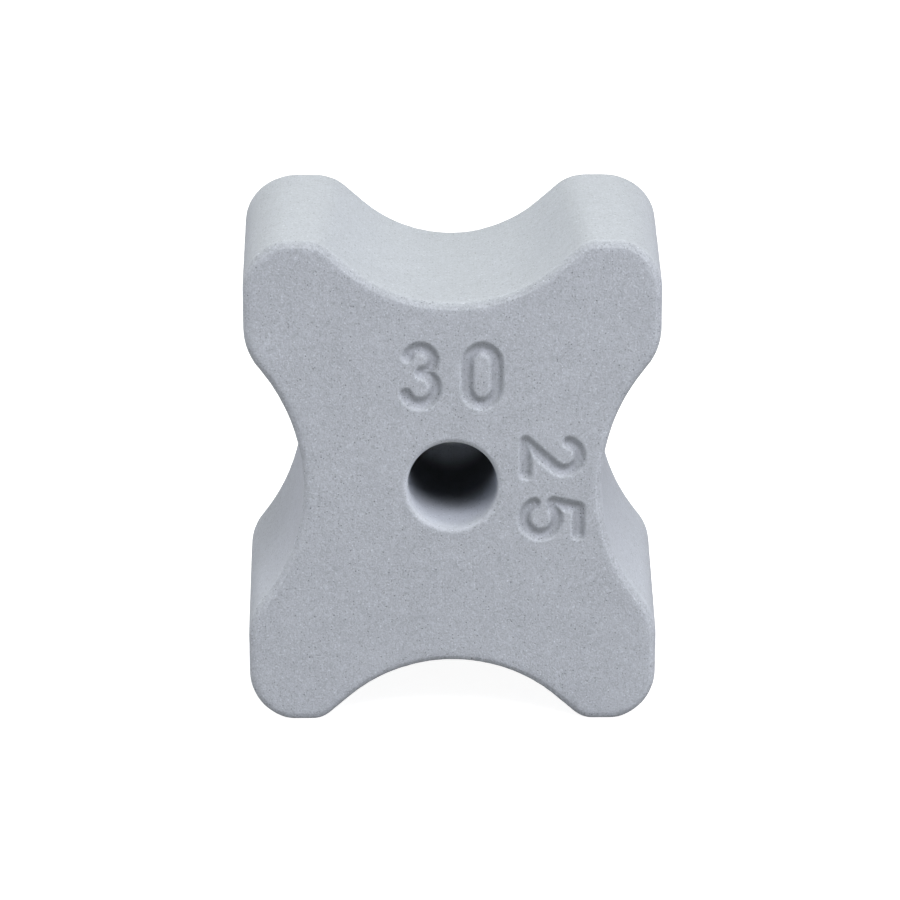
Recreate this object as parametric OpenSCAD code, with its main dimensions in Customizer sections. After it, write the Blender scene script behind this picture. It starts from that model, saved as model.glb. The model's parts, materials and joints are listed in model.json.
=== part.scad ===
// Cast concrete spacer block: a rebar chair with two covers.
// Upright it holds a bar at the high cover, on its side at the low one.
// X runs across the block, Y through it from the figured face to the back, Z up.
// The soles of the two lower feet stand on z = 0 and the bore lies along Y.

/* [Covers] */
// Cover with the block upright: height of the top seat above the lower soles
cover_high = 30; // [29.6:0.1:30.6]
// Cover with the block on its side: from the side soles to the seat opposite, at mid depth
cover_low = 25; // [24.4:0.1:25.4]

/* [Block] */
// Width over the lobes at mid depth
block_w = 28.9; // [28.4:0.1:29.6]
// Height over the lobes
block_h = 34.3; // [33.8:0.1:34.8]
// Depth from the figured face to the back
block_d = 20; // [12:1:30]
// How far each side spreads from the front face to the back face
side_spread = 0.74; // [0:0.02:1]

/* [Seats] */
// Radius of the seats in the top and the bottom
end_seat_r = 10.1; // [9:0.1:11]
// Steepest slope beside the top and bottom seats, in degrees
end_flank = 41; // [38:1:44]
// Radius of the seats in the two sides
side_seat_r = 13.4; // [11:0.1:14]
// Steepest slope beside the side seats, in degrees
side_flank = 37; // [34:1:40]

/* [Corners] */
// Radius between an end sole and the slope beside it
end_shoulder_r = 2.7; // [1.5:0.1:3.5]
// Radius between a side sole and the slope beside it
side_shoulder_r = 4.3; // [3:0.1:5]
// Radius of the four outer corners
outer_corner_r = 3.5; // [2:0.1:4]
// Radius around the rim of both faces
rim_r = 0.5; // [0.3:0.05:1.2]

/* [Bore] */
// Diameter of the bore for the tie wire
bore_d = 6.1; // [4:0.1:8]
// Radius around both mouths of the bore
mouth_r = 0.4; // [0.2:0.05:0.8]

/* [Hidden] */

concrete = [0.71, 0.73, 0.76];
half_w = block_w / 2;
half_h = block_h / 2;
half_d = block_d / 2;
bore_r = bore_d / 2;
end_steps = 10;        // spans along half of an end seat
side_steps = 9;        // spans along half of a side seat
shoulder_steps = 7;
corner_steps = 11;
rim_steps = 4;
proud = 0.3;           // how far the skin runs past a face, as a share of a rim step
bore_facets = 96;
mouth_facets = 24;
overrun = 2;           // how far the boring tool stands out of the block
mouth_sink = 0.92;     // the mouth's arc meets the face at a slight angle, not flush with it

// Slope that a seat and its shoulder share, no steeper than their depth allows.
function slope(limit, seat_r, shoulder_r, depth) =
    min(limit, acos(max(0, 1 - depth / (seat_r + shoulder_r))));

// Straight stretch left between the seat's arc and the shoulder's arc.
function flank_length(angle, seat_r, shoulder_r, depth) =
    (depth - (seat_r + shoulder_r) * (1 - cos(angle))) / sin(angle);

// How far the shoulder's centre lies from the seat's middle line.
function shoulder_reach(angle, seat_r, shoulder_r, depth) =
    (seat_r + shoulder_r) * sin(angle)
    + flank_length(angle, seat_r, shoulder_r, depth) * cos(angle);

end_depth = block_h - cover_high;
side_depth = block_w - cover_low;
end_slope = slope(end_flank, end_seat_r, end_shoulder_r, end_depth);
side_slope = slope(side_flank, side_seat_r, side_shoulder_r, side_depth);
end_reach = shoulder_reach(end_slope, end_seat_r, end_shoulder_r, end_depth);
side_reach = shoulder_reach(side_slope, side_seat_r, side_shoulder_r, side_depth);

// The points of an arc, each [x, z, outward normal x, outward normal z].
// bump is 1 on a lobe's rounding, and -1 in a seat, where the concrete lies outside the arc.
function arc(centre, radius, from, to, steps, bump = 1) = [
    for (i = [0 : steps])
        let (angle = from + (to - from) * i / steps, way = [cos(angle), sin(angle)])
        [each centre + radius * way, each bump * way]
];

// The upper right quarter, clockwise from the middle of the top seat to the right waist.
quarter = [
    each arc([0, half_h - end_depth + end_seat_r], end_seat_r,
             -90, -90 + end_slope, end_steps, -1),
    each arc([end_reach, half_h - end_shoulder_r], end_shoulder_r,
             90 + end_slope, 90, shoulder_steps),
    each arc([half_w - outer_corner_r, half_h - outer_corner_r], outer_corner_r,
             90, 0, corner_steps),
    each arc([half_w - side_shoulder_r, side_reach], side_shoulder_r,
             0, side_slope - 90, shoulder_steps),
    each arc([half_w - side_depth + side_seat_r, 0], side_seat_r,
             180 - side_slope, 180, side_steps, -1)
];

// The same points mirrored and walked backwards. The point that the walk turns on isn't
// repeated, and the walk stops at point `first`.
function mirrored(points, flip, first) = [
    for (i = [len(points) - 2 : -1 : first])
        [for (k = [0 : 3]) points[i][k] * flip[k]]
];
right_half = concat(quarter, mirrored(quarter, [1, -1, 1, -1], 0));
outline = concat(right_half, mirrored(right_half, [-1, 1, -1, 1], 1));

// A ring is [y, inset]: where it lies, and how far the rim's rounding draws it in.
function rim_ring(angle) = [-half_d + rim_r * (1 - cos(angle)), rim_r * (1 - sin(angle))];
rim_step = 90 / rim_steps;

// The outermost ring runs on past the face at the rounding's last slope, and is trimmed away.
proud_ring = rim_ring(0) + (rim_ring(0) - rim_ring(rim_step)) * proud;
rim_rings = [proud_ring, for (i = [1 : rim_steps]) rim_ring(i * rim_step)];
rings = concat(
    rim_rings,
    [for (i = [rim_steps : -1 : 0]) [-rim_rings[i][0], rim_rings[i][1]]]
);

// The outline at one ring: the sides spread towards the back, the soles and end seats don't.
function section(ring) = [
    for (point = outline)
        let (spread = side_spread * ring[0] / block_d)
        [point[0] + point[2] * (spread - ring[1]), ring[0], point[1] - point[3] * ring[1]]
];

// The rings skinned from end to end, and closed past each face by a fan.
module skin() {
    count = len(outline);
    last = len(rings) - 1;
    front_middle = count * len(rings);
    back_middle = front_middle + 1;
    polyhedron(
        points = [
            for (ring = rings) each section(ring),
            [0, rings[0][0], 0],
            [0, rings[last][0], 0]
        ],
        faces = [
            for (i = [0 : count - 1])
                let (next = (i + 1) % count)
                each [[front_middle, i, next],
                      [back_middle, last * count + next, last * count + i]],
            for (k = [0 : last - 1], i = [0 : count - 1])
                let (a = k * count + i, b = k * count + (i + 1) % count)
                each [[a, a + count, b], [b, a + count, b + count]]
        ]
    );
}

// The skin trimmed flush at both faces.
module block_body() {
    intersection() {
        skin();
        cube([2 * block_w, block_d, 2 * block_h], center = true);
    }
}

// Half of the bore's outline, to be turned round its axis: the wall and two flared mouths.
module bore_section() {
    difference() {
        union() {
            translate([0, -half_d - overrun])
                square([bore_r, block_d + 2 * overrun]);
            for (end = [0, 1])
                mirror([0, end])
                    translate([0, half_d - mouth_r])
                        square([bore_r + mouth_r, mouth_r + overrun]);
        }
        for (end = [0, 1])
            mirror([0, end])
                translate([bore_r + mouth_r, half_d - mouth_r * mouth_sink])
                    circle(r = mouth_r, $fn = mouth_facets);
    }
}

module spacer_block() {
    color(concrete)
        translate([0, 0, half_h])
            difference() {
                block_body();
                rotate([90, 0, 0])
                    rotate_extrude($fn = bore_facets) bore_section();
            }
}

spacer_block();
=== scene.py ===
"""The looks of a cast concrete rebar chair: its cast skin, its sunk figures and a plain studio.

Everything is in metres, in the shared frame: X across the block, Y through it from the figured face to the
back, Z up, with the soles of the lower feet on z = 0. Sizes written in millimetres are multiplied by MM.
"""
import json
import logging
import math
from dataclasses import dataclass, field
from enum import Enum
from typing import Any, Dict, List, Optional, Sequence, Tuple, Union

import bmesh
import bpy
import numpy as np
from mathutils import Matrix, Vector
from mathutils.geometry import delaunay_2d_cdt


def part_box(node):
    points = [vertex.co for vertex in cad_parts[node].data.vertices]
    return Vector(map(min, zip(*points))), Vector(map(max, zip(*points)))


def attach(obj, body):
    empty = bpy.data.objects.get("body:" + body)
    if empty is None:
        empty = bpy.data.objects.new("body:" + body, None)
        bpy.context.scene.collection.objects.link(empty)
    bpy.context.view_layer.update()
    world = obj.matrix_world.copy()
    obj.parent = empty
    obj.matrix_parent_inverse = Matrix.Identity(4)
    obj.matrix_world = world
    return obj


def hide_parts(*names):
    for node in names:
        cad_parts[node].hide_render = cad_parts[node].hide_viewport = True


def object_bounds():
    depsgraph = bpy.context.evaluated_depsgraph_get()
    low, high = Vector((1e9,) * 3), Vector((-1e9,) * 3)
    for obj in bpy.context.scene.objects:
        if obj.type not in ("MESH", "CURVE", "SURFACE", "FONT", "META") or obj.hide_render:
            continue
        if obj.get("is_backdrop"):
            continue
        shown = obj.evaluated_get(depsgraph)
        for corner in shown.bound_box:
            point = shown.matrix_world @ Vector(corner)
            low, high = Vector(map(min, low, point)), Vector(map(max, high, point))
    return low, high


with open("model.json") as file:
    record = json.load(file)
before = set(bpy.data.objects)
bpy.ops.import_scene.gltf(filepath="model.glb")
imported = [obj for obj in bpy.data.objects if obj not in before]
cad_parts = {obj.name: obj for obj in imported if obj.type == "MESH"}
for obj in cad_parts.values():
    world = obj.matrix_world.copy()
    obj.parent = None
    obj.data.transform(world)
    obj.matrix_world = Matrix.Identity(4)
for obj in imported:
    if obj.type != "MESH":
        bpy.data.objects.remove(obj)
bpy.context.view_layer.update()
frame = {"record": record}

MM = 0.001
NODE = "spacer_block"

Point = Tuple[float, float]
Link = Union["Value", float, int, bool, str, Tuple[float, ...], bpy.types.ID]
log = logging.getLogger("rebar_chair")


# --- Node trees -----------------------------------------------------------------------------------


class Graph:
    """A shader or geometry node tree that is being written."""

    def __init__(self, tree: bpy.types.NodeTree) -> None:
        """Starts from an empty tree."""
        self.tree = tree
        tree.nodes.clear()

    def node(
        self,
        kind: str,
        settings: Optional[Dict[str, Any]] = None,
        links: Optional[Dict[Union[str, int], Link]] = None,
        out: Union[str, int] = 0,
    ) -> "Value":
        """Adds one node of any type.

        Args:
            kind: the node's type name.
            settings: its own properties, set before its sockets.
            links: what goes into each socket, by name or number: a Value is linked, the rest is set.
            out: the output that is handed back, by name or number.

        Returns:
            that output, ready for sums.
        """
        made = self.tree.nodes.new(kind)
        for name, setting in (settings or {}).items():
            setattr(made, name, setting)
        for name, link in (links or {}).items():
            socket = made.inputs[name]
            if isinstance(link, Value):
                self.tree.links.new(link.socket, socket)
            elif isinstance(link, (int, float)) and hasattr(socket.default_value, "__len__"):
                socket.default_value = [link] * len(socket.default_value)
            else:
                socket.default_value = link
        return Value(self, made.outputs[out]) if len(made.outputs) else Value(self, None)

    def combine(self, operation: str, *terms: Link) -> "Value":
        """Adds a Math node, or a Vector Math node where a term is a vector or a colour.

        Args:
            operation: the name that both node types know the sum by.
            terms: its operands in order.

        Returns:
            the result.
        """
        wide = [isinstance(term, tuple) or isinstance(term, Value) and term.is_wide for term in terms]
        kind = "ShaderNodeVectorMath" if any(wide) else "ShaderNodeMath"
        return self.node(kind, {"operation": operation}, dict(enumerate(terms)))

    def blend(self, factor: Link, low: Link, high: Link) -> "Value":
        """Mixes two colours: low where factor is 0, high where it is 1."""
        settings = {"data_type": "RGBA", "clamp_factor": True}
        return self.node("ShaderNodeMix", settings, {0: factor, 6: low, 7: high}, out=2)

    def ease(self, value: Link, start: Link, end: Link, low: Link = 0.0, high: Link = 1.0) -> "Value":
        """Goes smoothly from low, where value is at start, to high, where it is at end."""
        links = {"Value": value, "From Min": start, "From Max": end, "To Min": low, "To Max": high}
        return self.node("ShaderNodeMapRange", {"interpolation_type": "SMOOTHSTEP"}, links)


@dataclass(frozen=True)
class Value:
    """A node's output that can be used in Python sums."""

    graph: Graph
    socket: Optional[bpy.types.NodeSocket]

    @property
    def is_wide(self) -> bool:
        """True for a vector or a colour."""
        return self.socket.type in ("VECTOR", "RGBA")

    def other(self, out: Union[str, int]) -> "Value":
        """Another output of the same node."""
        return Value(self.graph, self.socket.node.outputs[out])

    def __add__(self, term: Link) -> "Value":
        """self + term."""
        return self.graph.combine("ADD", self, term)

    def __radd__(self, term: Link) -> "Value":
        """term + self."""
        return self.graph.combine("ADD", term, self)

    def __sub__(self, term: Link) -> "Value":
        """self - term."""
        return self.graph.combine("SUBTRACT", self, term)

    def __rsub__(self, term: Link) -> "Value":
        """term - self."""
        return self.graph.combine("SUBTRACT", term, self)

    def __mul__(self, term: Link) -> "Value":
        """self * term."""
        return self.graph.combine("MULTIPLY", self, term)

    def __rmul__(self, term: Link) -> "Value":
        """term * self."""
        return self.graph.combine("MULTIPLY", term, self)

    def __truediv__(self, term: Link) -> "Value":
        """self / term."""
        return self.graph.combine("DIVIDE", self, term)

    def __rtruediv__(self, term: Link) -> "Value":
        """term / self."""
        return self.graph.combine("DIVIDE", term, self)

    def __abs__(self) -> "Value":
        """The size of self without its sign."""
        return self.graph.combine("ABSOLUTE", self)

    def __gt__(self, term: Link) -> "Value":
        """1 where self is over term, and 0 elsewhere."""
        return self.graph.combine("GREATER_THAN", self, term)


# --- Curves in the plane of the face --------------------------------------------------------------


def bow(centre: Point, radii: Point, start: float, end: float, step: float) -> List[Point]:
    """Points along an arc of a circle or an ellipse.

    Args:
        centre: the middle of the arc.
        radii: its half width and half height.
        start: the angle of the first point, in degrees.
        end: the angle of the last point.
        step: the longest chord allowed.

    Returns:
        the points, both ends included.
    """
    count = max(2, math.ceil(math.radians(abs(end - start)) * max(radii) / step))
    angles = [math.radians(start + (end - start) * i / count) for i in range(count + 1)]
    return [(centre[0] + radii[0] * math.cos(a), centre[1] + radii[1] * math.sin(a)) for a in angles]


def distance_to_path(points: np.ndarray, path: np.ndarray) -> np.ndarray:
    """Distance from each point to a chain of straight stretches.

    Args:
        points: an array of n by 2.
        path: an array of the chain's corners, m by 2.

    Returns:
        n distances.
    """
    nearest = np.full(len(points), np.inf)
    for start, end in zip(path[:-1], path[1:]):
        along = end - start
        share = np.clip((points - start) @ along / max(along @ along, 1e-18), 0, 1)
        gaps = np.linalg.norm(points - start - share[:, None] * along, axis=1)
        nearest = np.minimum(nearest, gaps)
    return nearest


def is_inside(points: np.ndarray, loop: np.ndarray) -> np.ndarray:
    """Says which points a closed loop encloses.

    Args:
        points: an array of n by 2.
        loop: the loop's corners in order, the first not repeated.

    Returns:
        n flags.
    """
    inside = np.zeros(len(points), bool)
    x, z = points[:, 0], points[:, 1]
    for (x0, z0), (x1, z1) in zip(loop, np.roll(loop, -1, axis=0)):
        if z0 == z1:
            continue
        crosses = ((z0 > z) != (z1 > z)) & (x < (x1 - x0) * (z - z0) / (z1 - z0) + x0)
        inside ^= crosses
    return inside


def honeycomb(low: Sequence[float], high: Sequence[float], pitch: float) -> np.ndarray:
    """Points in staggered rows, each a pitch from its neighbours.

    Args:
        low: the field's lowest corner.
        high: its highest corner.
        pitch: the distance between neighbours.

    Returns:
        an array of n by 2.
    """
    row_gap = pitch * math.sqrt(3) / 2
    rows = np.arange(low[1], high[1] + row_gap, row_gap)
    columns = np.arange(low[0], high[0] + pitch, pitch)
    grid_x, grid_z = np.meshgrid(columns, rows)
    grid_x = grid_x + pitch / 2 * (np.arange(len(rows)) % 2)[:, None]
    return np.column_stack([grid_x.ravel(), grid_z.ravel()])


# --- Finishes -------------------------------------------------------------------------------------


@dataclass(frozen=True)
class CastConcrete:
    """Pale grey cement with fine sand: gritty on the faces and the rims, finer on the moulded sides.

    Lengths are in millimetres. Each pattern has a size, or a gap and a radius, and a tone, which says how
    strongly it shades the colour. Where it also stands out or lies deeper, it has a height or a depth.

    Attributes:
        clump_twist: how far the clumps are drawn out into short scratches.
        side_share: how much of the grit the moulded sides have.
        bore_share: how much of it the bore has.
        grain_bias: where a grain turns from dark to light, between 0 and 1.
        grain_core: the share of a grain's radius that has its full tone.
        pore_rarity: the share of the places for an air hole that have none.
        pore_core: the share of a hole's radius that is fully sunk.
        worn_tone: how much darker the worn edges round the faces are.
        wall_start: where the bore's wall takes its painted light and shade, in mouth radii.
        wall_full: where it has all of it.
        mouth_painted_light: how much paler the wall is painted by the mouths: painted light.
        bore_shade_start: how far behind a face the painted shade begins to darken the wall.
        bore_shade_end: how far behind it the painted shade is full.
        bore_painted_shade: how much the painted shade darkens the wall towards the bore's middle.
    """

    name: str = "cast_concrete"
    colour: Tuple[float, float, float] = (0.47, 0.495, 0.545)
    roughness: float = 0.88
    specular: float = 0.25
    sand_size: float = 0.06
    sand_height: float = 0.015
    clump_size: float = 0.25
    clump_height: float = 0.015
    clump_twist: float = 3.0
    side_share: float = 0.65
    bore_share: float = 0.3
    sand_tone: float = 0.5
    clump_tone: float = 0.54
    mottle_size: float = 0.9
    mottle_tone: float = 0.10
    grain_gap: float = 0.19
    grain_radius: float = 0.07
    grain_tone: float = 0.85
    grain_bias: float = 0.55
    grain_core: float = 0.4
    cloud_size: float = 5.0
    cloud_tone: float = 0.08
    pore_gap: float = 1.1
    pore_radius: float = 0.08
    pore_core: float = 0.5
    pore_rarity: float = 0.45
    pore_depth: float = 0.04
    # How much darker the air holes are painted: painted shade.
    pore_shade_tone: float = 0.2
    worn_tone: float = 0.15
    wall_start: float = 0.97
    wall_full: float = 0.9
    mouth_painted_light: float = 0.22
    bore_shade_start: float = 3.0
    bore_shade_end: float = 8.0
    bore_painted_shade: float = 0.6

    def build(self, half_depth: float, rim: float, axis_height: float, mouth: float) -> bpy.types.Material:
        """Writes the material.

        Args:
            half_depth: distance from the middle of the block to a face, in metres, like the next three.
            rim: radius of the rounding round the faces.
            axis_height: height of the bore's axis.
            mouth: radius of the bore's mouth where it meets a face.

        Returns:
            the material.
        """
        material = bpy.data.materials.new(self.name)
        material.use_nodes = True
        graph = Graph(material.node_tree)
        # The patterns are worked out in millimetres.
        half_depth, rim, axis_height, mouth = half_depth / MM, rim / MM, axis_height / MM, mouth / MM
        place = graph.node("ShaderNodeTexCoord", out="Object") * (1 / MM, 1 / MM, 1 / MM)
        across = graph.node("ShaderNodeSeparateXYZ", links={0: place})
        depth, up = abs(across.other("Y")), across.other("Z") - axis_height
        spoke = graph.combine("SQRT", across * across + up * up)
        face = graph.ease(depth, half_depth - rim, half_depth)
        open_face = graph.ease(spoke, mouth - rim, mouth, self.bore_share, 1.0)
        gritty = (face * (1.0 - self.side_share) + self.side_share) * open_face

        sand = self.noise(graph, place, self.sand_size)
        clumps = self.noise(graph, place, self.clump_size, self.clump_twist)
        mottle = self.noise(graph, place, self.mottle_size)
        clouds = self.noise(graph, place, self.cloud_size)
        pores = self.pores(graph, place)
        grains = self.grains(graph, place)

        grit = sand * self.sand_tone + clumps * self.clump_tone + mottle * self.mottle_tone
        tone = grit * gritty + grains * self.grain_tone + clouds * self.cloud_tone + 1.0
        # 1 halfway round the rim and 0 on the face and the side.
        worn = face * (1.0 - face) * 4.0
        # Painted light and shade in the bore: the wall is painted paler by the mouths and darker towards
        # the middle of the bore, where shade falls.
        in_bore = graph.ease(spoke, mouth * self.wall_start, mouth * self.wall_full)
        start, end = half_depth - self.bore_shade_start, half_depth - self.bore_shade_end
        bore_light_and_shade = graph.ease(depth, start, end, self.mouth_painted_light, -self.bore_painted_shade)
        tone = (tone - worn * self.worn_tone) * (1.0 + in_bore * bore_light_and_shade)
        # Painted shade: the air holes are darkened in colour as well as sunk by the bump.
        tone = tone * (1.0 - pores * self.pore_shade_tone)
        shade = graph.node("ShaderNodeCombineColor", links={0: tone, 1: tone, 2: tone})

        height = sand * self.sand_height + clumps * self.clump_height
        height = (height * gritty - pores * self.pore_depth) * MM
        normal = graph.node("ShaderNodeBump", links={"Height": height, "Strength": 1.0, "Distance": 1.0})
        shader = graph.node("ShaderNodeBsdfPrincipled", links={
            "Base Color": shade * self.colour,
            "Normal": normal,
            "Roughness": self.roughness,
            "Specular IOR Level": self.specular,
        })
        graph.node("ShaderNodeOutputMaterial", links={"Surface": shader})
        return material

    def noise(self, graph: Graph, place: Value, size: float, twist: float = 0.0) -> Value:
        """A soft noise round 0, from about -0.5 to 0.5.

        Args:
            graph: the tree that it goes into.
            place: where it is read.
            size: how wide its lumps are.
            twist: how far its lumps are drawn out into short scratches.

        Returns:
            its value.
        """
        links = {"Vector": place, "Scale": 1 / (2 * size), "Detail": 1.0, "Roughness": 0.6}
        links["Distortion"] = twist
        return graph.node("ShaderNodeTexNoise", None, links) - 0.5

    def cells(self, graph: Graph, place: Value, gap: float) -> Tuple[Value, Value]:
        """Scattered points.

        Args:
            graph: the tree that they go into.
            place: where they are read.
            gap: how far apart they lie.

        Returns:
            the distance to the nearest one, in gaps, and a number from 0 to 1 that each has for itself.
        """
        near = graph.node("ShaderNodeTexVoronoi", None, {"Vector": place, "Scale": 1 / gap}, "Distance")
        return near, graph.node("ShaderNodeSeparateColor", links={0: near.other("Color")})

    def grains(self, graph: Graph, place: Value) -> Value:
        """Single grains of sand, most of them faint, from dark at about -0.5 to light at 0.5."""
        near, kind = self.cells(graph, place, self.grain_gap)
        reach = self.grain_radius / self.grain_gap
        bias = kind - self.grain_bias
        return graph.ease(near, reach, reach * self.grain_core) * bias * abs(bias) * 2.0

    def pores(self, graph: Graph, place: Value) -> Value:
        """A few tiny round air holes: 1 inside one and 0 elsewhere."""
        near, kind = self.cells(graph, place, self.pore_gap)
        reach = self.pore_radius / self.pore_gap
        return graph.ease(near, reach, reach * self.pore_core) * (kind > self.pore_rarity)


@dataclass(frozen=True)
class PaleFloor:
    """A matt white studio floor that keeps the block's shadow.

    The camera sees it brighter than it is, so that it meets the white beyond it without an edge.

    Attributes:
        lift: how much brighter the camera sees it, where 1 is white.
    """

    name: str = "pale_floor"
    colour: Tuple[float, float, float, float] = (0.45, 0.45, 0.45, 1.0)
    lift: float = 0.94

    def build(self) -> bpy.types.Material:
        """Writes the material and returns it."""
        material = bpy.data.materials.new(self.name)
        material.use_nodes = True
        graph = Graph(material.node_tree)
        paper = graph.node("ShaderNodeBsdfDiffuse", links={"Color": self.colour})
        seen = graph.node("ShaderNodeLightPath", out="Is Camera Ray")
        glow = graph.node("ShaderNodeEmission", links={"Strength": seen * self.lift})
        both = graph.node("ShaderNodeAddShader", links={0: paper, 1: glow})
        graph.node("ShaderNodeOutputMaterial", links={"Surface": both})
        return material


# --- The figures ----------------------------------------------------------------------------------


class Reading(Enum):
    """The way a pair of figures reads on the face: the turn of its upright, in degrees."""

    LEVEL = 0.0
    DOWNWARD = -90.0


class Numeral(Enum):
    """The figures that the block carries, as centrelines in millimetres round their middle."""

    THREE = 3
    ZERO = 0
    TWO = 2
    FIVE = 5

    def strokes(self, step: float) -> List[List[Point]]:
        """The numeral's centrelines.

        Args:
            step: the longest chord allowed, in millimetres.

        Returns:
            a list of chains of points, X to the right and Y up.
        """
        if self is Numeral.THREE:
            upper = bow((0.0, 1.10), (0.86, 0.86), 160, -83, step)
            lower = bow((0.0, -0.86), (1.04, 1.08), 84, -157, step)
            return [upper, lower]
        if self is Numeral.ZERO:
            top = bow((0.0, 0.82), (0.99, 1.12), 0, 180, step)
            bottom = bow((0.0, -0.82), (0.99, 1.12), 180, 360, step)
            return [top + bottom + top[:1]]
        if self is Numeral.TWO:
            bowl = bow((0.0, 0.81), (1.02, 1.0), 162, -42, step)
            return [bowl + [(-1.01, -1.84), (1.26, -1.84)]]
        bar = [(1.13, 1.85), (-0.77, 1.85), (-1.14, 0.15)]
        bowl = bow((-0.01, -0.74), (1.16, 1.105), 128, -156, step)
        return [bar + bowl]


@dataclass(frozen=True)
class SunkNumeral:
    """One numeral pressed into the face.

    Attributes:
        numeral: which one.
        middle: where its middle lies from the bore's axis, X and Z in millimetres.
        reading: which way it is turned.
    """

    numeral: Numeral
    middle: Point
    reading: Reading

    def chains(self, step: float) -> List[np.ndarray]:
        """The numeral's centrelines round the bore's axis, in metres.

        Args:
            step: the longest chord allowed, in millimetres.

        Returns:
            one array of points for each chain.
        """
        turn = math.radians(self.reading.value)
        across = np.array([math.cos(turn), math.sin(turn)])
        up = np.array([-math.sin(turn), math.cos(turn)])
        middle = np.array(self.middle)
        chains = []
        for stroke in self.numeral.strokes(step):
            chains.append(np.array([middle + x * across + y * up for x, y in stroke]) * MM)
        return chains


@dataclass
class SunkFigures:
    """The two covers pressed into the face: 30 upright over the bore, and 25 on its side to the right.

    Attributes:
        numerals: the four figures.
        chord: the longest chord of a centreline, in millimetres.
        depth: how deep a groove is.
        lip_half: half a groove's width at the face.
        curve: how softly a groove meets the face: at 1 its section is a plain bowl with sharp lips.
        pitch: the distance between the mesh's points in and beside a groove.
        chains: the centrelines round the bore's axis.
    """

    numerals: Tuple[SunkNumeral, ...] = (
        SunkNumeral(Numeral.THREE, (-2.20, 7.78), Reading.LEVEL),
        SunkNumeral(Numeral.ZERO, (1.98, 7.78), Reading.LEVEL),
        SunkNumeral(Numeral.TWO, (6.80, 2.10), Reading.DOWNWARD),
        SunkNumeral(Numeral.FIVE, (6.74, -2.38), Reading.DOWNWARD),
    )
    chord: float = 0.08
    depth: float = 0.37 * MM
    lip_half: float = 0.54 * MM
    curve: float = 1.6
    pitch: float = 0.075 * MM
    chains: List[np.ndarray] = field(init=False, default_factory=list)

    def __post_init__(self) -> None:
        """Works out the centrelines once."""
        for numeral in self.numerals:
            self.chains.extend(numeral.chains(self.chord))

    def reach(self) -> float:
        """How far from a centreline the mesh is kept fine."""
        return self.lip_half + 1.5 * self.pitch

    def distance(self, points: np.ndarray) -> np.ndarray:
        """Distance from each point of the face to the nearest centreline."""
        return np.min([distance_to_path(points, chain) for chain in self.chains], axis=0)

    def fine_points(self) -> np.ndarray:
        """The close mesh points in and beside the grooves."""
        spots = []
        for chain in self.chains:
            grid = honeycomb(chain.min(0) - self.reach(), chain.max(0) + self.reach(), self.pitch)
            spots.append(grid[distance_to_path(grid, chain) < self.reach()])
        merged = spots[:1]
        for index, more in enumerate(spots[1:], start=1):
            earlier = [distance_to_path(more, chain) for chain in self.chains[:index]]
            merged.append(more[np.min(earlier, axis=0) >= self.reach() + self.pitch * 0.5])
        return np.vstack(merged)

    def guide(self, y: float, z: float) -> bpy.types.Object:
        """Makes the centrelines as loose edges for the relief to measure from.

        Args:
            y: where the face lies.
            z: the height of the bore's axis.

        Returns:
            a helper object, deleted once the relief is made.
        """
        verts, edges = [], []
        for chain in self.chains:
            first = len(verts)
            verts.extend((x, y, z + up) for x, up in chain)
            edges.extend((i, i + 1) for i in range(first, len(verts) - 1))
        mesh = bpy.data.meshes.new("figure_lines")
        mesh.from_pydata(verts, edges, [])
        guide = bpy.data.objects.new("figure_lines", mesh)
        bpy.context.scene.collection.objects.link(guide)
        return guide


# --- The block ------------------------------------------------------------------------------------


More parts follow.
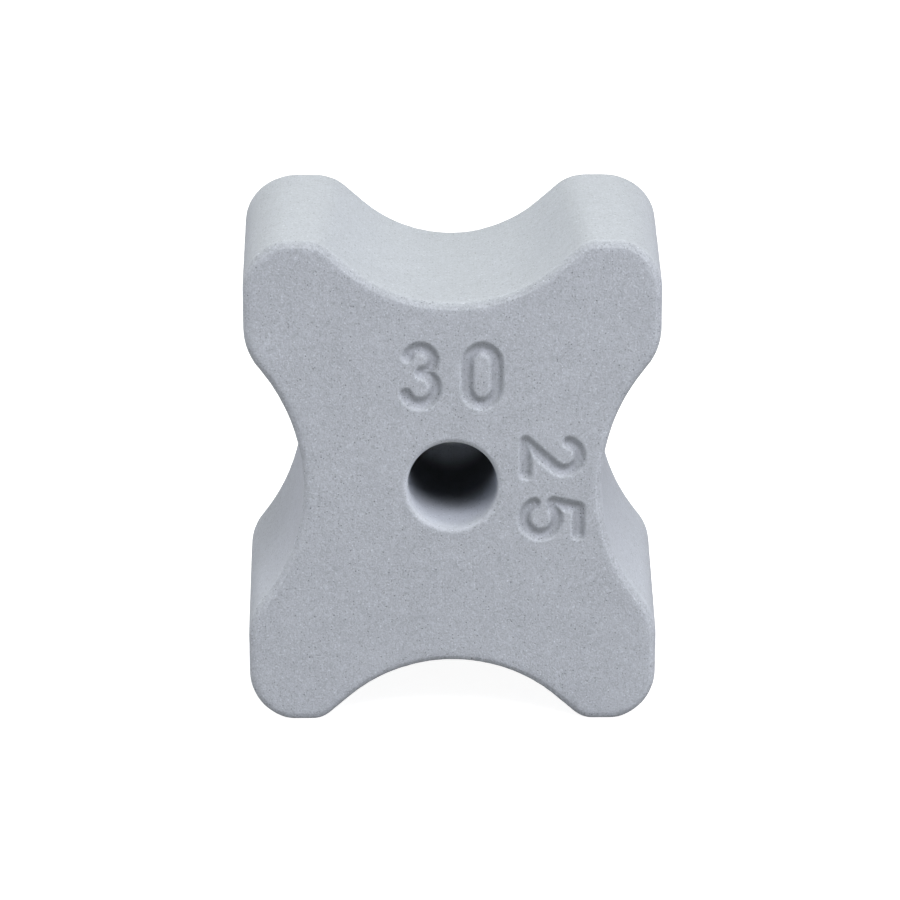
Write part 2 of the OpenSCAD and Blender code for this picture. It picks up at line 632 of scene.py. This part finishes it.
@dataclass
class CastRelief:
    """What casting leaves on the skin: pressed figures, a slight unevenness and worn, gritty edges.

    A Geometry Nodes tree moves the skin's points inwards only, so the block stays inside its true form.

    Attributes:
        groove_depth, groove_lip, groove_curve: the figures' depth, half width and softness.
        half_depth, rim, axis_height, mouth: where the faces, their rounded rims and the bore lie.
        lip_wander: how far a groove's edge strays.
        wave_size, wave_height: the slow unevenness of the whole skin.
        grit_size, grit_height: the fine unevenness of the whole skin.
        wear_height: how much rougher the rims are.
        wear_start, wear_end: where the wear starts and is full, in rim radii behind the face.
        flat_facing: how squarely the skin may face forward and still be fully worn; the flat isn't worn.
        sole_guard: how high the relief starts over the soles, which stay flat.
        mouth_guard: how wide the bore's mouth stays free of it, in mouth radii.
        seed: the pattern's own number.
    """

    groove_depth: float
    groove_lip: float
    groove_curve: float
    half_depth: float
    rim: float
    axis_height: float
    mouth: float
    lip_wander: float = 0.06 * MM
    wave_size: float = 2.6 * MM
    wave_height: float = 0.04 * MM
    grit_size: float = 0.30 * MM
    grit_height: float = 0.02 * MM
    wear_height: float = 0.07 * MM
    wear_start: float = 1.3
    wear_end: float = 0.4
    flat_facing: float = 0.97
    sole_guard: float = 0.5 * MM
    mouth_guard: float = 1.1
    seed: float = 3.0

    def apply(self, skin: bpy.types.Object, guide: bpy.types.Object, finish: bpy.types.Material) -> None:
        """Runs the tree on the skin and keeps the result as its plain mesh.

        Args:
            skin: the block's smooth mesh object.
            guide: the figures' centrelines.
            finish: the material that the skin gets.
        """
        tree = bpy.data.node_groups.new("cast_relief", "GeometryNodeTree")
        sizes = {
            "Groove Depth": self.groove_depth, "Groove Lip": self.groove_lip,
            "Groove Curve": self.groove_curve, "Lip Wander": self.lip_wander,
            "Wave Size": self.wave_size, "Wave Height": self.wave_height,
            "Grit Size": self.grit_size, "Grit Height": self.grit_height,
            "Half Depth": self.half_depth, "Rim": self.rim, "Wear Height": self.wear_height,
            "Wear Start": self.wear_start, "Wear End": self.wear_end, "Flat Facing": self.flat_facing,
            "Axis Height": self.axis_height, "Mouth": self.mouth, "Mouth Guard": self.mouth_guard,
            "Sole Guard": self.sole_guard, "Seed": self.seed,
        }
        sockets = {"Geometry": self.socket(tree, "Geometry", "NodeSocketGeometry")}
        for name in sizes:
            sockets[name] = self.socket(tree, name, "NodeSocketFloat")
        sockets["Lines"] = self.socket(tree, "Lines", "NodeSocketObject")
        sockets["Finish"] = self.socket(tree, "Finish", "NodeSocketMaterial")
        tree.interface.new_socket("Geometry", in_out="OUTPUT", socket_type="NodeSocketGeometry")
        self.write(tree)

        modifier = skin.modifiers.new("cast_relief", "NODES")
        modifier.node_group = tree
        for name, size in sizes.items():
            modifier[sockets[name]] = size
        modifier[sockets["Lines"]] = guide
        modifier[sockets["Finish"]] = finish
        bpy.context.view_layer.update()
        evaluated = skin.evaluated_get(bpy.context.evaluated_depsgraph_get())
        plain = bpy.data.meshes.new_from_object(evaluated)
        skin.modifiers.remove(modifier)
        skin.data = plain

    def socket(self, tree: bpy.types.NodeTree, name: str, kind: str) -> str:
        """Adds a named input to the tree and returns its identifier."""
        return tree.interface.new_socket(name, in_out="INPUT", socket_type=kind).identifier

    def write(self, tree: bpy.types.NodeTree) -> None:
        """Writes the tree's nodes."""
        graph = Graph(tree)
        given = graph.node("NodeGroupInput")
        place = graph.node("GeometryNodeInputPosition")
        normal = graph.node("GeometryNodeInputNormal")
        seed = given.other("Seed")

        def lumps(size: Value) -> Value:
            """Noise from 0 to 1 with lumps of about that size."""
            links = {"Vector": place, "W": seed, "Scale": 0.5 / size, "Detail": 1.0}
            return graph.node("ShaderNodeTexNoise", {"noise_dimensions": "4D"}, links)

        grit, waves = lumps(given.other("Grit Size")), lumps(given.other("Wave Size"))
        info = {"transform_space": "RELATIVE"}
        lines = graph.node("GeometryNodeObjectInfo", info, {"Object": given.other("Lines")}, out="Geometry")
        gap = graph.node("GeometryNodeProximity", {"target_element": "EDGES"}, {0: lines}, out="Distance")
        gap = gap + (grit - 0.5) * given.other("Lip Wander")
        share = gap / given.other("Groove Lip")
        bowl = graph.combine("MAXIMUM", 1.0 - share * share, 0.0)
        groove = graph.combine("POWER", bowl, given.other("Groove Curve")) * given.other("Groove Depth")

        height = graph.node("ShaderNodeSeparateXYZ", links={0: place}, out="Z")
        depth = abs(height.other("Y"))
        edge, rim = given.other("Half Depth"), given.other("Rim")
        start, end = edge - rim * given.other("Wear Start"), edge - rim * given.other("Wear End")
        facing = abs(graph.node("ShaderNodeSeparateXYZ", links={0: normal}, out="Y"))
        worn = graph.ease(depth, start, end) * graph.ease(facing, 1.0, given.other("Flat Facing"))
        grit_height = worn * given.other("Wear Height") + given.other("Grit Height")
        across, up = height.other("X"), height - given.other("Axis Height")
        spoke, mouth = graph.combine("SQRT", across * across + up * up), given.other("Mouth")
        guard = graph.ease(spoke, mouth, mouth * given.other("Mouth Guard"))
        guard = guard * graph.ease(height, 0.0, given.other("Sole Guard"))
        sunk = (waves * given.other("Wave Height") + grit * grit_height) * guard
        cut = graph.node("ShaderNodeCombineXYZ", links={"Y": groove})
        draw = graph.node("ShaderNodeVectorMath", {"operation": "SCALE"}, {0: normal, "Scale": 0.0 - sunk})
        moved = graph.node("GeometryNodeSetPosition", links={"Geometry": given, "Offset": cut + draw})
        smooth = graph.node("GeometryNodeSetShadeSmooth", links={"Geometry": moved})
        real = graph.node("GeometryNodeRealizeInstances", links={0: smooth})
        dressed = graph.node("GeometryNodeSetMaterial", links={0: real, "Material": given.other("Finish")})
        graph.node("NodeGroupOutput", links={0: dressed})


@dataclass
class SpacerBlock:
    """The cast block. Its driving sizes come from the frame, the smaller radii are its own.

    Attributes:
        figures: what is pressed into its front.
        end_flank, side_flank: how steep the end seats' and the side seats' flanks are, in degrees.
        end_shoulder_r, side_shoulder_r: radii of the bumps between a flank and the flat beyond it.
        corner_r: radius of the outer corners.
        rim_r, mouth_r: radii of the rounding round a face and round a mouth of the bore.
        skin_pitch, face_pitch, wall_pitch: the mesh's steps round the outline, on a face and in depth.
        rim_steps, mouth_steps, bore_spokes: the steps round a rim, a mouth and the bore.
        margin: the free space round a face's own points, in steps of it.
        half_d, half_w, half_h: half its depth, its width over the side soles and its height.
        axis_z, bore_r: the height of the bore's axis and the bore's radius.
        lean: how far the sides spread for each metre of depth.
        end_seat_r, side_seat_r, end_depth, side_depth: the seats' radii and how deep they are sunk.
    """

    figures: SunkFigures = field(default_factory=SunkFigures)
    end_flank: float = 41.0
    side_flank: float = 37.0
    end_shoulder_r: float = 2.7 * MM
    side_shoulder_r: float = 4.3 * MM
    corner_r: float = 3.5 * MM
    rim_r: float = 0.5 * MM
    mouth_r: float = 0.4 * MM
    skin_pitch: float = 0.22 * MM
    face_pitch: float = 0.3 * MM
    wall_pitch: float = 0.45 * MM
    rim_steps: int = 10
    mouth_steps: int = 5
    bore_spokes: int = 120
    margin: float = 0.6
    half_d: float = field(init=False)
    half_w: float = field(init=False)
    half_h: float = field(init=False)
    axis_z: float = field(init=False)
    bore_r: float = field(init=False)
    lean: float = field(init=False)
    end_seat_r: float = field(init=False)
    side_seat_r: float = field(init=False)
    end_depth: float = field(init=False)
    side_depth: float = field(init=False)

    def __post_init__(self) -> None:
        """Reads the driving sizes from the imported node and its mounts."""
        low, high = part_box(NODE)
        mounts = {mount["name"]: mount for mount in frame["record"]["mounts"]}
        bore, side = mounts["tie_wire_bore"], mounts["side_sole"]
        high_seat, low_seat = mounts["high_seat"], mounts["low_seat"]
        self.half_d = (high.y - low.y) / 2
        self.half_h = (high.z - low.z) / 2
        self.axis_z = bore["pos_m"][2]
        self.bore_r = bore["dims"]["r_mm"] * MM
        self.half_w = abs(side["pos_m"][0])
        self.lean = side["axis"][1] / side["axis"][0]
        self.end_seat_r = high_seat["dims"]["r_mm"] * MM
        self.side_seat_r = low_seat["dims"]["r_mm"] * MM
        self.end_depth = high.z - high_seat["pos_m"][2]
        self.side_depth = self.half_w - low_seat["pos_m"][0]

    def reach(self, slope: float, seat_r: float, shoulder_r: float, depth: float) -> float:
        """How far a shoulder's centre lies from the middle of its seat.

        Args:
            slope: the flank's angle, in degrees.
            seat_r: the seat's radius.
            shoulder_r: the shoulder's radius.
            depth: how deep the seat is sunk.

        Returns:
            the distance along the side.
        """
        angle = math.radians(slope)
        radii = seat_r + shoulder_r
        flank = (depth - radii * (1 - math.cos(angle))) / math.sin(angle)
        return radii * math.sin(angle) + flank * math.cos(angle)

    def outline(self) -> np.ndarray:
        """The block's outline round the bore's axis, counter-clockwise from the front.

        Returns:
            an array of n by 4: X, Z and the outward normal's X and Z.
        """
        end_reach = self.reach(self.end_flank, self.end_seat_r, self.end_shoulder_r, self.end_depth)
        side_reach = self.reach(self.side_flank, self.side_seat_r, self.side_shoulder_r, self.side_depth)
        width, height, corner = self.half_w, self.half_h, self.corner_r
        seat_z = height - self.end_depth + self.end_seat_r
        seat_x = width - self.side_depth + self.side_seat_r
        side, end = self.side_flank, self.end_flank
        # From the right waist up to the middle of the top seat: centre, radius, start, end, bump or hollow.
        arcs = [
            ((seat_x, 0.0), self.side_seat_r, 180, 180 - side, -1),
            ((width - self.side_shoulder_r, side_reach), self.side_shoulder_r, -side, 0, 1),
            ((width - corner, height - corner), corner, 0, 90, 1),
            ((end_reach, height - self.end_shoulder_r), self.end_shoulder_r, 90, 90 + end, 1),
            ((0.0, seat_z), self.end_seat_r, end - 90, -90, -1),
        ]
        quarter = []
        for centre, radius, start, stop, bump in arcs:
            for x, z in bow(centre, (radius, radius), start, stop, self.skin_pitch):
                away = ((x - centre[0]) / radius * bump, (z - centre[1]) / radius * bump)
                quarter.append((x, z, *away))
        quarter = self.filled(np.array(quarter))
        right = np.vstack([quarter[:0:-1] * (1, -1, 1, -1), quarter])
        return np.vstack([right, right[-2:0:-1] * (-1, 1, -1, 1)])

    def filled(self, chain: np.ndarray) -> np.ndarray:
        """Splits the straight stretches of a chain at the skin's pitch."""
        rows = [chain[0]]
        for start, end in zip(chain[:-1], chain[1:]):
            gap = float(np.linalg.norm(end[:2] - start[:2]))
            if gap < 1e-9:
                continue
            count = max(1, round(gap / self.skin_pitch))
            rows.extend(start + (end - start) * i / count for i in range(1, count + 1))
        return np.array(rows)

    def section(self, outline: np.ndarray, y: float, inset: float) -> np.ndarray:
        """The outline at one depth: the sides spread towards the back, the rim draws it in.

        Args:
            outline: what outline() gives.
            y: the depth from the middle of the block.
            inset: how far the rim's rounding draws it in.

        Returns:
            an array of n by 2.
        """
        moved = outline[:, :2].copy()
        moved[:, 0] += outline[:, 2] * (self.lean * y - inset)
        moved[:, 1] -= outline[:, 3] * inset
        return moved

    def rings(self) -> List[Tuple[float, float]]:
        """The skin's rings from the front to the back, each its depth and its inset."""
        angles = [math.pi / 2 * i / self.rim_steps for i in range(self.rim_steps + 1)]
        rim = [
            (self.rim_r * (1 - math.cos(a)) - self.half_d, self.rim_r * (1 - math.sin(a))) for a in angles
        ]
        inner = self.half_d - self.rim_r
        count = round(2 * inner / self.wall_pitch)
        wall = [(-inner + 2 * inner * i / count, 0.0) for i in range(1, count)]
        return rim + wall + [(-y, inset) for y, inset in reversed(rim)]

    def bore_rings(self) -> List[Tuple[float, float]]:
        """The bore's rings from the front to the back, each its depth and its radius."""
        angles = [math.pi / 2 * i / self.mouth_steps for i in range(self.mouth_steps + 1)]
        mouth = [
            (self.mouth_r * (1 - math.cos(a)) - self.half_d, self.bore_r + self.mouth_r * (1 - math.sin(a)))
            for a in angles
        ]
        inner = self.half_d - self.mouth_r
        count = round(2 * inner / self.wall_pitch)
        wall = [(-inner + 2 * inner * i / count, self.bore_r) for i in range(1, count)]
        return mouth + wall + [(-y, radius) for y, radius in reversed(mouth)]

    def face(
        self, bm: bmesh.types.BMesh, y: float, loop: np.ndarray, ring: np.ndarray, fine: np.ndarray
    ) -> None:
        """Fills the flat between the rim and the bore's mouth with even triangles.

        Args:
            bm: the mesh that the face goes into.
            y: where the face lies.
            loop: its outer edge.
            ring: the mouth's edge.
            fine: extra close points, which may be none.
        """
        inner = honeycomb(loop.min(0), loop.max(0), self.face_pitch)
        inner = inner[is_inside(inner, loop)]
        edge = np.vstack([loop, loop[:1]])
        mouth = np.linalg.norm(ring[0])
        margin = self.face_pitch * self.margin
        keep = distance_to_path(inner, edge) > margin
        keep &= np.linalg.norm(inner, axis=1) > mouth + margin
        if len(fine):
            keep &= self.figures.distance(inner) > self.figures.reach() + margin / 2
        points = np.vstack([loop, ring, inner[keep], fine])
        count, hole = len(loop), len(ring)
        edges = [(i, (i + 1) % count) for i in range(count)]
        edges += [(count + i, count + (i + 1) % hole) for i in range(hole)]
        scaled = [Vector(point) for point in points / MM]
        flat, _, triangles = delaunay_2d_cdt(scaled, edges, [], 1, 1e-7)[:3]
        verts = [bm.verts.new((p.x * MM, y, self.axis_z + p.y * MM)) for p in flat]
        # The triangulation fills the mouth too. Those triangles have their middles inside its circle.
        opening = mouth * math.cos(math.pi / hole) * 0.9999 / MM
        for triangle in triangles:
            middle = sum((flat[i] for i in triangle), Vector((0, 0))) / 3
            if middle.length > opening:
                corners = [verts[i] for i in triangle]
                bm.faces.new(corners if y < 0 else corners[::-1])
        bmesh.ops.delete(bm, geom=[vert for vert in verts if not vert.link_faces], context="VERTS")

    def tube(self, bm: bmesh.types.BMesh, rings: List[Tuple[float, np.ndarray]]) -> None:
        """Skins a row of loops into a tube.

        Args:
            bm: the mesh that the tube goes into.
            rings: each loop's depth and its points.
        """
        rows = [[bm.verts.new((x, y, self.axis_z + z)) for x, z in loop] for y, loop in rings]
        for front, back in zip(rows[:-1], rows[1:]):
            for i in range(len(front)):
                j = (i + 1) % len(front)
                bm.faces.new((front[i], front[j], back[j], back[i]))

    def skin(self) -> bpy.types.Object:
        """Makes the smooth block: sides, rims, faces and bore as one closed mesh."""
        outline = self.outline()
        sides = [(y, self.section(outline, y, inset)) for y, inset in self.rings()]
        turns = np.linspace(0, 2 * math.pi, self.bore_spokes, endpoint=False)
        spokes = np.column_stack([np.cos(turns), np.sin(turns)])
        bore = [(y, spokes * radius) for y, radius in self.bore_rings()]
        bm = bmesh.new()
        self.tube(bm, sides)
        self.tube(bm, bore)
        self.face(bm, -self.half_d, sides[0][1], bore[0][1], self.figures.fine_points())
        self.face(bm, self.half_d, sides[-1][1], bore[-1][1], np.empty((0, 2)))
        bmesh.ops.remove_doubles(bm, verts=bm.verts, dist=1e-7)
        bmesh.ops.recalc_face_normals(bm, faces=bm.faces)
        mesh = bpy.data.meshes.new("cast_block")
        bm.to_mesh(mesh)
        bm.free()
        skin = bpy.data.objects.new("cast_block", mesh)
        bpy.context.scene.collection.objects.link(skin)
        return skin

    def build(self, finish: CastConcrete) -> bpy.types.Object:
        """Makes the block and puts it in the CAD node's place.

        Args:
            finish: what it is cast from.

        Returns:
            the finished piece.
        """
        block = self.skin()
        figures = self.figures
        guide = figures.guide(-self.half_d, self.axis_z)
        mouth = self.bore_r + self.mouth_r
        relief = CastRelief(
            figures.depth, figures.lip_half, figures.curve,
            self.half_d, self.rim_r, self.axis_z, mouth,
        )
        relief.apply(block, guide, finish.build(self.half_d, self.rim_r, self.axis_z, mouth))
        bpy.data.objects.remove(guide)
        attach(block, "root")
        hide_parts(NODE)
        return block


# --- The studio -----------------------------------------------------------------------------------


def outward(bearing: float, height: float) -> Vector:
    """The direction from the block to something round it.

    Args:
        bearing: degrees round the block to the right of the figured face.
        height: degrees above the floor.

    Returns:
        a vector of length 1.
    """
    turn, rise = math.radians(bearing), math.radians(height)
    return Vector((math.sin(turn) * math.cos(rise), -math.cos(turn) * math.cos(rise), math.sin(rise)))


@dataclass(frozen=True)
class SoftLamp:
    """A square soft lamp that looks at the block.

    Attributes:
        name: what it is called.
        bearing: degrees round the block to the right of the figured face.
        height: degrees above the floor.
        distance: how far it stands off, in metres.
        size: its side, in metres.
        level: what it gives a white sheet that faces it, where 1 is white.
        tint: its colour.
    """

    name: str
    bearing: float
    height: float
    distance: float
    size: float
    level: float
    tint: Tuple[float, float, float]

    def build(self, target: Vector) -> bpy.types.Object:
        """Hangs the lamp and turns it to the target."""
        away = outward(self.bearing, self.height)
        lamp = bpy.data.lights.new(self.name, "AREA")
        lamp.size = self.size
        lamp.energy = self.level * (math.pi * self.distance) ** 2
        lamp.color = self.tint
        hung = bpy.data.objects.new(self.name, lamp)
        bpy.context.scene.collection.objects.link(hung)
        hung.location = target + away * self.distance
        hung.rotation_euler = away.to_track_quat("Z", "Y").to_euler()
        return hung


@dataclass
class Studio:
    """A white floor, soft lamps, a white surround and the camera.

    Attributes:
        lamps: a key from the upper right, a fill on each side and a weak yellowish one overhead.
        floor_side: the floor's side, in metres.
        ambient: the even light from all round, where 1 is white.
        camera_bearing, camera_height: the camera's place round the block, in degrees.
        camera_distance: its distance from the block's middle.
        lens, sensor: its focal length and the width of its picture, in millimetres.
        aim: where it looks, from the block's middle: across and up.
    """

    lamps: Tuple[SoftLamp, ...] = (
        SoftLamp("key", 15.0, 54.0, 0.6, 0.28, 0.81, (1.0, 1.0, 1.04)),
        SoftLamp("left_fill", -95.0, 32.0, 0.6, 0.3, 0.56, (1.0, 1.0, 1.03)),
        SoftLamp("right_fill", 78.0, 32.0, 0.6, 0.3, 0.57, (1.0, 1.0, 1.03)),
        SoftLamp("warm_top", 0.0, 88.0, 0.6, 0.34, 0.13, (0.9, 1.0, 0.3)),
    )
    floor_side: float = 3.0
    ambient: float = 0.03
    camera_bearing: float = -0.455
    camera_height: float = 17.8
    camera_distance: float = 0.24
    lens: float = 135.5
    sensor: float = 36.0
    aim: Tuple[float, float] = (-0.10 * MM, -0.64 * MM)

    def floor(self) -> bpy.types.Object:
        """Lays the floor at the block's soles."""
        half = self.floor_side / 2
        mesh = bpy.data.meshes.new("floor")
        corners = [(-half, -half, 0), (half, -half, 0), (half, half, 0), (-half, half, 0)]
        mesh.from_pydata(corners, [], [(0, 1, 2, 3)])
        mesh.materials.append(PaleFloor().build())
        floor = bpy.data.objects.new("floor", mesh)
        bpy.context.scene.collection.objects.link(floor)
        floor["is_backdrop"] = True
        return floor

    def surround(self) -> None:
        """Makes the world white to the camera and a low, even light to the block."""
        world = bpy.data.worlds.new("surround")
        bpy.context.scene.world = world
        world.use_nodes = True
        graph = Graph(world.node_tree)
        path = graph.node("ShaderNodeLightPath", out="Is Camera Ray")
        strength = path * (1 - self.ambient) + self.ambient
        white = (1.0, 1.0, 1.0, 1.0)
        sky = graph.node("ShaderNodeBackground", links={"Color": white, "Strength": strength})
        graph.node("ShaderNodeOutputWorld", links={"Surface": sky})

    def camera(self, centre: Vector) -> bpy.types.Object:
        """Sets the camera up in front of the figured face, a little above it."""
        away = outward(self.camera_bearing, self.camera_height)
        data = bpy.data.cameras.new("camera")
        data.lens = self.lens
        data.sensor_width = self.sensor
        data.clip_start, data.clip_end = 0.01, 20.0
        camera = bpy.data.objects.new("camera", data)
        bpy.context.scene.collection.objects.link(camera)
        camera.location = centre + away * self.camera_distance
        aim = centre + Vector((self.aim[0], 0.0, self.aim[1]))
        camera.rotation_euler = (camera.location - aim).to_track_quat("Z", "Y").to_euler()
        bpy.context.scene.camera = camera
        return camera

    def build(self) -> None:
        """Sets up the whole studio round the block."""
        low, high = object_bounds()
        centre = (low + high) / 2
        self.floor()
        self.surround()
        for lamp in self.lamps:
            lamp.build(centre)
            log.info("lamp %s hung", lamp.name)
        self.camera(centre)
        bpy.context.scene.view_settings.view_transform = "Standard"


def main() -> None:
    """Builds the block and the studio."""
    logging.basicConfig(level=logging.INFO, format="%(name)s: %(message)s")
    block = SpacerBlock().build(CastConcrete())
    log.info("%s made with %d faces", block.name, len(block.data.polygons))
    Studio().build()


if __name__ == "__main__":
    main()
